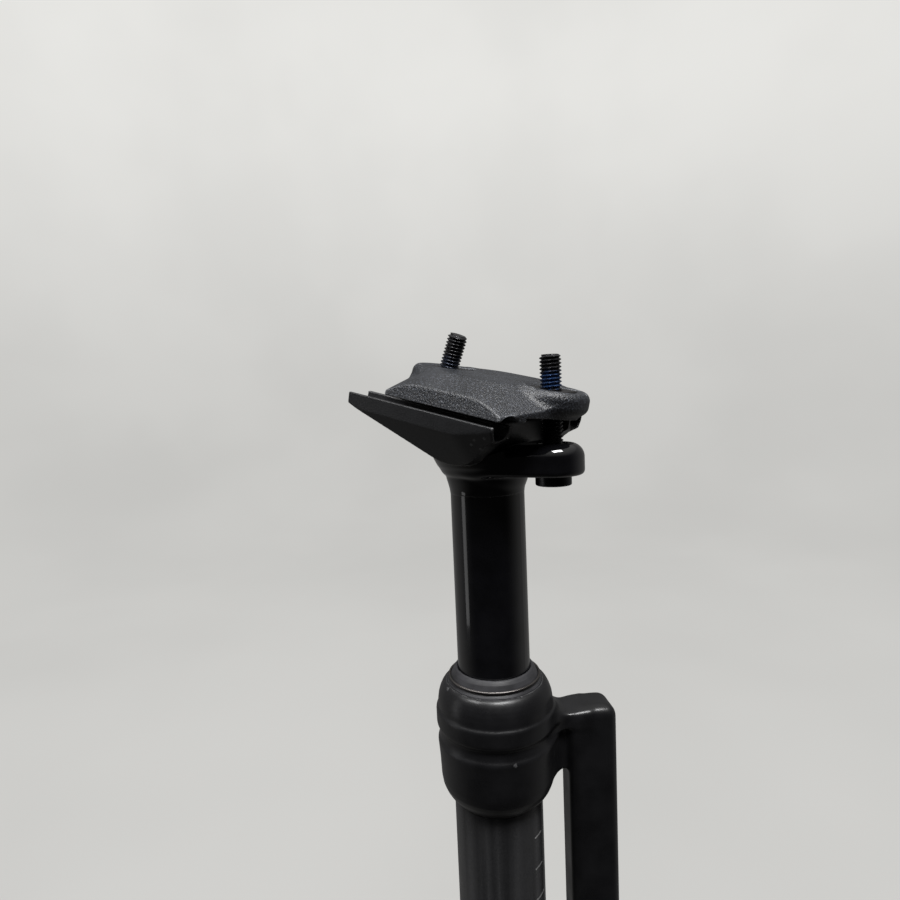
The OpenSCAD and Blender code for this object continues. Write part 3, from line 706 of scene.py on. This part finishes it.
# ---------------------------------------------------------------- top clamp
EAR_TOP_R = 10.9
EAR_UNDER_W = 3.2
REAR_PAD_EXTRA = 1.8                               # the rear ends of the pads reach further back
PAD_V = 26                                         # side of a pad
PAD_NECK_V = 7.5                                   # inside its ear
PAD_U = 17.6                                       # end of a pad at its side
PAD_SPREAD = 6.1                                   # how much further the end reaches at the neck
DISH_R = 17.5
DISH_RISE = 15.2                                   # middle of the dish above the flat top
SLOT_R = 3.9
TROUGH_GAP = 0.1                                   # round the half nut
PAD_FACET = [(17.6, 26, 2.3), (8.4, 16, TOP_W), (23.7, 7.5, 5)]
PAD_SIDE = [(8.4, 16, TOP_W), (-8.4, 16, TOP_W), (0, 24.8, 5.5)]
PAD_EDGE = [(0, 24.8, 5.5), (8, 24.8, 5.5), (0, 25.9, 1.5)]


def top_clamp_field(u, v, w):
    across = np.abs(v)
    along = np.abs(u - CLAMP_U)
    p = (along, across, w)
    # pads: a faceted wedge over each rail
    longer = np.where(u < CLAMP_U, REAR_PAD_EXTRA, 0)
    ends = (along - longer, across, w)
    slopes = soft_max(half_space(p, PAD_SIDE), half_space(ends, PAD_FACET), 2.4) - 0.3
    pad = soft_max(w - TOP_W, slopes, 0.5)
    pad = soft_max(pad, half_space(p, PAD_EDGE), 0.35)
    pad = soft_max(pad, across - PAD_V, 0.4)
    end = PAD_U + PAD_SPREAD * (PAD_V - across) / (PAD_V - PAD_NECK_V)
    pad = soft_max(pad, along - longer - end, 0.4)
    under = np.where(across > GROOVE_INNER_V, 1.5, 2.5)
    pad = soft_max(pad, under - w, 0.3)
    # an ear round each bolt, and the spine that joins them
    reach = np.hypot(along - BOLT_U, v)
    ear = puck(reach, w, EAR_TOP_R, EAR_UNDER_W, TOP_W - 0.2, 2.6)
    spine = block(along, v, w - (TOP_W + EAR_UNDER_W) / 2, (BOLT_U, 9.9, (TOP_W - EAR_UNDER_W) / 2), 1.0)
    solid = soft_min(soft_min(pad, ear, 2.0), spine, 0.6)
    solid = soft_max(solid, w - TOP_W, 0.3)
    # dish round the bolt, open towards the end
    dish = np.sqrt((along - BOLT_U - 0.6) ** 2 + v ** 2 + (w - TOP_W - DISH_RISE) ** 2) - DISH_R
    solid = cut(solid, dish, 0.8)
    # trough of the half nut, and the slot under it
    bed_r = NUT_R + TROUGH_GAP
    bed = np.hypot(along - BOLT_U, w - NUT_W) - bed_r
    bed = soft_min(bed, np.maximum(np.abs(along - BOLT_U) - bed_r, NUT_W - w), 0.05)
    solid = cut(solid, soft_max(bed, across - (NUT_L / 2 + 0.35), 0.2), 0.35)
    slot = np.hypot(np.maximum(np.abs(along - BOLT_U - 1.2) - 1.2, 0), v) - SLOT_R
    solid = cut(solid, slot, 0.35)
    groove = np.hypot(across - RAIL_V, w - RAIL_W) - RAIL_R
    return cut(solid, groove, 0.3)


top_clamp = cast("top_clamp_cast", top_clamp_field, (-21.5, -27, 0.5), (37, 27, 11), 0.35,
                 CLAMP, "rail_clamp", ["top_clamp"])
paint(top_clamp, FINISHES["cast_black"])


# ---------------------------------------------------------------- bolts, nuts and washers
BOLT_R = 3.0
PITCH = 1.0
THREAD_DEPTH = 0.6
BOLT_LEN = 30.0
HEAD_R = 5.0
HEAD_H = 5.8
SOCKET_R = 2.6
SOCKET_FLAT = 2.5                                  # half the width across the hexagon's flats
SOCKET_FLOOR = -2.6
NUT_HOLE_R = 3.06


def thread_relief(rr, zz, aa):
    """A helical thread on the shank, fading out at the tip's chamfer and under the head."""
    turn = (zz / PITCH - aa / (2 * math.pi)) % 1
    wave = np.clip(np.abs(turn - 0.5) * 2.5 - 0.15, 0, 1)
    shank = (rr > 2.2) & (zz > 1.6) & (zz < BOLT_LEN + 0.01) & (rr < BOLT_R + 0.01)
    fade = np.clip((zz - 1.6) / 1.0, 0, 1) * np.clip((BOLT_LEN + 0.3 - zz) / 0.9, 0, 1)
    return np.where(shank, rr - THREAD_DEPTH * wave * fade, rr)


def bolt_outline():
    """Socket, head, then up the shank in thread steps to the tip."""
    steps = int(BOLT_LEN / PITCH * 10)
    head = rounded([(0.01, -1.4), (0.01, SOCKET_FLOOR), (SOCKET_R, SOCKET_FLOOR), (SOCKET_R, -HEAD_H),
                    (HEAD_R, -HEAD_H), (HEAD_R, -0.03), (BOLT_R + 0.15, -0.03),
                    (BOLT_R + 0.1, -1.4)], 0.45)
    head = [(r, z) for r, z in head if r > 0.3 and not (r < BOLT_R + 0.12 and -1.5 < z < -1.0)]
    shank = [(BOLT_R, BOLT_LEN * i / steps) for i in range(steps + 1)]
    shank = [(r - max(0, z - (BOLT_LEN - 0.7)) * 0.8, z) for r, z in shank]
    return head + shank + [(1.6, BOLT_LEN), (0.02, BOLT_LEN - 0.15), (0.02, SOCKET_FLOOR)]


def head_relief(rr, zz, aa):
    """Knurled side, hexagonal socket and the thread."""
    knurl = (rr > HEAD_R - 0.02) & (zz < -0.6) & (zz > -HEAD_H + 0.6)
    rr = np.where(knurl, rr - 0.13 * (0.5 + 0.5 * np.cos(40 * aa)), rr)
    socket = (np.abs(rr - SOCKET_R) < 0.35) & (zz < -2.4)
    hexagon = SOCKET_FLAT / np.cos((aa + math.pi / 6) % (math.pi / 3) - math.pi / 6)
    rr = np.where(socket, hexagon, rr)
    return thread_relief(rr, zz, aa)


for which, matrix in BOLTS.items():
    bolt = spin(f"clamp_bolt_{which}_m6", bolt_outline(), matrix, f"bolt_{which}", [f"clamp_bolt_{which}"],
                around=120, radius=head_relief, sharp=42)
    paint(bolt, BOLT_FINISHES[which])
    washer_outline = rounded([(BOLT_R + 0.2, 0.02), (HEAD_R - 0.1, 0.02), (HEAD_R - 0.1, 1.28),
                              (BOLT_R + 0.2, 1.28)], 0.3)
    washer = spin(f"seat_washer_{which}_turned", washer_outline, matrix, f"washer_{which}",
                  [f"seat_washer_{which}"], around=96)
    paint(washer, FINISHES["black_steel"])


def nut_field_for(which):
    """Half of a round bar along v, with the bolt's hole through it."""
    centre = FRONT_NUT if which == "front" else REAR_NUT
    m = BOLTS[which]
    o, a = m.translation / MM, m.col[2].xyz.normalized()

    def field(u, v, w):
        x = centre[0] + u * U_AXIS[0] + w * W_AXIS[0]
        z = centre[2] + u * U_AXIS[2] + w * W_AXIS[2]
        bar = puck(np.hypot(u, w), v, NUT_R - 0.02, -NUT_L / 2, NUT_L / 2, 0.5)
        bar = soft_max(bar, w + 0.1, 0.35)
        dx, dz = x - o.x, z - o.z
        off = np.hypot(dx * a.z - dz * a.x, v)
        return cut(bar, off - NUT_HOLE_R, 0.3)
    return field, axes_matrix(centre, U_AXIS, (0, 1, 0), W_AXIS)


for which in BOLTS:
    nut_field, nut_matrix = nut_field_for(which)
    nut = cast(f"half_nut_{which}_turned", nut_field, (-5.8, -7.6, -5.8), (5.8, 7.6, 0.4), 0.3,
               nut_matrix, f"nut_{which}", [f"half_nut_{which}"])
    paint(nut, FINISHES["black_steel"])


# ---------------------------------------------------------------- spring and caps
def coil_spring():
    """Round wire on the CAD coil's own rule: flatter over its first and last turn."""
    low, high = (p / MM for p in (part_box("main_spring")[0].z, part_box("main_spring")[1].z))
    wire, mean, turns, per_turn, sides = 1.7, 9.3, 7, 40, 16
    inset = 1.75
    steps = turns * per_turn
    t = np.arange(steps + 1) / steps
    rise = t - np.sin(2 * math.pi * t) / (2 * math.pi) * 0.55
    z0, z1 = low + inset, high - inset
    angle = 2 * math.pi * turns * t
    around = np.arange(sides) * 2 * math.pi / sides
    r = mean + wire * np.cos(around)[None, :]
    points = np.stack([r * np.cos(angle)[:, None], r * np.sin(angle)[:, None],
                       (z0 + (z1 - z0) * rise)[:, None] + wire * np.sin(around)[None, :]], -1).reshape(-1, 3)
    faces = [(i * sides + j, (i + 1) * sides + j,
              (i + 1) * sides + (j + 1) % sides, i * sides + (j + 1) % sides)
             for i in range(steps) for j in range(sides)]
    faces += [tuple(range(sides)), tuple(steps * sides + j for j in reversed(range(sides)))]
    spring = new_object("main_spring_coil", points, faces, ROW, None, ["main_spring"], 60)
    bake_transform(spring)
    return spring


paint(coil_spring(), FINISHES["spring_steel"])

CAP_LOW, CAP_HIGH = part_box("valve_cap")
CAP_FRAME = axes_matrix((COLUMN[0], COLUMN[1], CAP_LOW.z / MM), (1, 0, 0), (0, 1, 0), (0, 0, 1))
CAP_H = (CAP_HIGH.z - CAP_LOW.z) / MM
CAP_R = 4.88


def cap_relief(rr, zz, aa):
    grip = (rr > 4.6) & (zz > 1.2) & (zz < CAP_H - 1.2)
    return np.where(grip, rr - 0.28 * (0.5 + 0.5 * np.cos(24 * aa)), rr)


cap_side = [(CAP_R, z) for z in (0, 1.0, 1.5, CAP_H - 1.5, CAP_H - 1.0, CAP_H)]
cap_outline = rounded([(0.02, 0)] + cap_side + [(3.95, CAP_H), (3.95, 1.8), (0.02, 1.8)], 0.5)
cap = spin("valve_cap_knurled", cap_outline, CAP_FRAME, "dust_cap", ["valve_cap"],
           around=192, radius=cap_relief, sharp=50)
paint(cap, FINISHES["plastic_black"])

# finishes of the CAD nodes that stay as they are
KEPT = {
    "outer_tube": "anodised_black", "preload_plug": "plain_anodised", "reservoir_cap": "plain_anodised",
    "stanchion": "gloss_black", "slider_foot": "bare_aluminium", "spring_seat": "bare_aluminium",
    "floating_piston": "bare_aluminium", "upper_bushing": "bronze", "anti_rotation_keys": "brass",
    "gas_valve": "brass", "valve_pin": "brass", "oil_seal": "rubber_black", "tube_o_ring": "rubber_black",
    "piston_ring": "rubber_black", "floating_piston_ring": "rubber_black", "cap_o_ring": "rubber_black",
    "guide_band": "polymer_green", "top_out_bumper": "elastomer_red", "bottom_out_bumper": "elastomer_amber",
    "port_plug": "black_steel",
}
for name, look in KEPT.items():
    paint(frame["nodes"][name], FINISHES[look])

# ---------------------------------------------------------------- stage, light and camera
VIEW_AZ, VIEW_PITCH, VIEW_YAW, VIEW_ROLL = (math.radians(a) for a in (32.62, 5.30, -3.35, -2.48))
CAMERA_MM = (97.70, -152.66, LIP_Z + 83.59)
LENS_MM = 24.52
SENSOR_MM = 36


def stage_bowl():
    """A pale floor that curves up into a pale wall all round, glowing as painted light, brighter towards the
    top.
    """
    flat, bend, tall = 1.1, 0.9, 3.2
    line = [(0.001, 0.0), (flat * 0.5, 0.0), (flat, 0.0)]
    line += [(flat + bend * math.sin(a), bend * (1 - math.cos(a)))
             for a in np.linspace(0, math.pi / 2, 24)[1:]]
    line += [(flat + bend, tall)]
    around = 96
    verts = [(r * math.cos(a), r * math.sin(a), z)
             for a in np.arange(around) * 2 * math.pi / around for r, z in line]
    n = len(line)
    faces = [(i * n + j, (i + 1) % around * n + j, (i + 1) % around * n + j + 1, i * n + j + 1)
             for i in range(around) for j in range(n - 1)]
    bowl = new_object("stage_bowl", [(x / MM, y / MM, z / MM) for x, y, z in verts], faces, ROW, None)
    material, nodes, links, shader = node_tree("stage_grey")
    coords = nodes.new("ShaderNodeTexCoord").outputs["Object"]
    cloud = noise(nodes, links, coords, 600)
    links.new(mix_colour(nodes, links, map_range(nodes, links, cloud, 0.3, 0.7, 0, 1),
                         (0.10, 0.099, 0.096), (0.11, 0.109, 0.106)), shader.inputs["Base Color"])
    split = nodes.new("ShaderNodeSeparateXYZ")
    links.new(coords, split.inputs[0])
    # Painted light: the stage glows instead of being lit, brighter with height like light falling on the
    # wall.
    painted_glow_by_height = map_range(nodes, links, split.outputs["Z"], 0.0, 1.5, 0.52, 0.76)
    links.new(math_node(nodes, links, "MULTIPLY", painted_glow_by_height, map_range(nodes, links, cloud, 0.3, 0.7, 0.97, 1.03)),
              shader.inputs["Emission Strength"])
    shader.inputs["Emission Color"].default_value = (1.0, 0.995, 0.965, 1)
    shader.inputs["Roughness"].default_value = 0.9
    shader.inputs["Specular IOR Level"].default_value = 0.1
    paint(bowl, material)
    for rays in ("visible_diffuse", "visible_glossy", "visible_shadow"):
        setattr(bowl, rays, False)


def area_light(name, place, aim, size, power):
    data = bpy.data.lights.new(name, "AREA")
    data.shape = "RECTANGLE"
    data.size, data.size_y = size
    data.energy = power
    light = bpy.data.objects.new(name, data)
    light.location = place
    light.rotation_euler = (Vector(aim) - Vector(place)).to_track_quat("-Z", "Y").to_euler()
    bpy.context.scene.collection.objects.link(light)


def from_view(right, up, back):
    """A point given from the post's upper end: to the right, up and towards the camera, in metres."""
    c, s = math.cos(VIEW_AZ), math.sin(VIEW_AZ)
    return Vector((right * c + back * s, right * s - back * c, LIP_Z * MM + up))


def world_light():
    """Dim walls, near black behind the camera, and a brighter ceiling for the gloss to reflect."""
    world = bpy.data.worlds.new("room")
    bpy.context.scene.world = world
    world.use_nodes = True
    nodes, links = world.node_tree.nodes, world.node_tree.links
    background = nodes["Background"]
    coords = nodes.new("ShaderNodeTexCoord").outputs["Generated"]
    behind = nodes.new("ShaderNodeVectorMath")
    behind.operation = "DOT_PRODUCT"
    links.new(coords, behind.inputs[0])
    behind.inputs[1].default_value = (from_view(0, 0, -1) - from_view(0, 0, 0)).normalized()
    wall = map_range(nodes, links, behind.outputs["Value"], -0.65, 0.35, 0.012, 0.15)
    split = nodes.new("ShaderNodeSeparateXYZ")
    links.new(coords, split.inputs[0])
    ceiling = map_range(nodes, links, split.outputs["Z"], 0.25, 0.9, 0.0, 0.5)
    level = math_node(nodes, links, "MAXIMUM", wall, ceiling)
    links.new(level, background.inputs["Strength"])
    background.inputs["Color"].default_value = (1.0, 0.99, 0.97, 1)


def camera():
    data = bpy.data.cameras.new("view")
    data.sensor_width = SENSOR_MM
    data.lens = LENS_MM
    data.clip_start = 0.005
    obj = bpy.data.objects.new("view", data)
    sy, cy, sp, cp = math.sin(VIEW_YAW), math.cos(VIEW_YAW), math.sin(VIEW_PITCH), math.cos(VIEW_PITCH)
    forward = Vector((sy * cp, cy * cp, -sp))
    right = Vector((cy, -sy, 0))
    up = right.cross(forward)
    sr, cr = math.sin(VIEW_ROLL), math.cos(VIEW_ROLL)
    image_x = cr * right + sr * up
    image_y = -sr * right + cr * up
    turn = Matrix.Rotation(VIEW_AZ, 3, "Z")
    m = Matrix.Identity(4)
    for col, axis in enumerate((turn @ image_x, turn @ image_y, turn @ -forward)):
        for row in range(3):
            m[row][col] = axis[row]
    for row in range(3):
        m[row][3] = CAMERA_MM[row] * MM
    obj.matrix_world = m
    bpy.context.scene.collection.objects.link(obj)
    bpy.context.scene.camera = obj


stage_bowl()
world_light()
area_light("key", from_view(-0.44, 0.76, 0.22), from_view(0, 0.05, 0), (0.34, 0.3), 3.2)
area_light("overhead", from_view(0.16, 0.80, 0.34), from_view(0, 0.05, 0), (0.40, 0.22), 8.5)
area_light("side", from_view(-0.62, 0.02, 0.10), from_view(0, 0.0, 0), (0.14, 0.5), 0.16)
camera()
bpy.context.scene.view_settings.view_transform = "Standard"
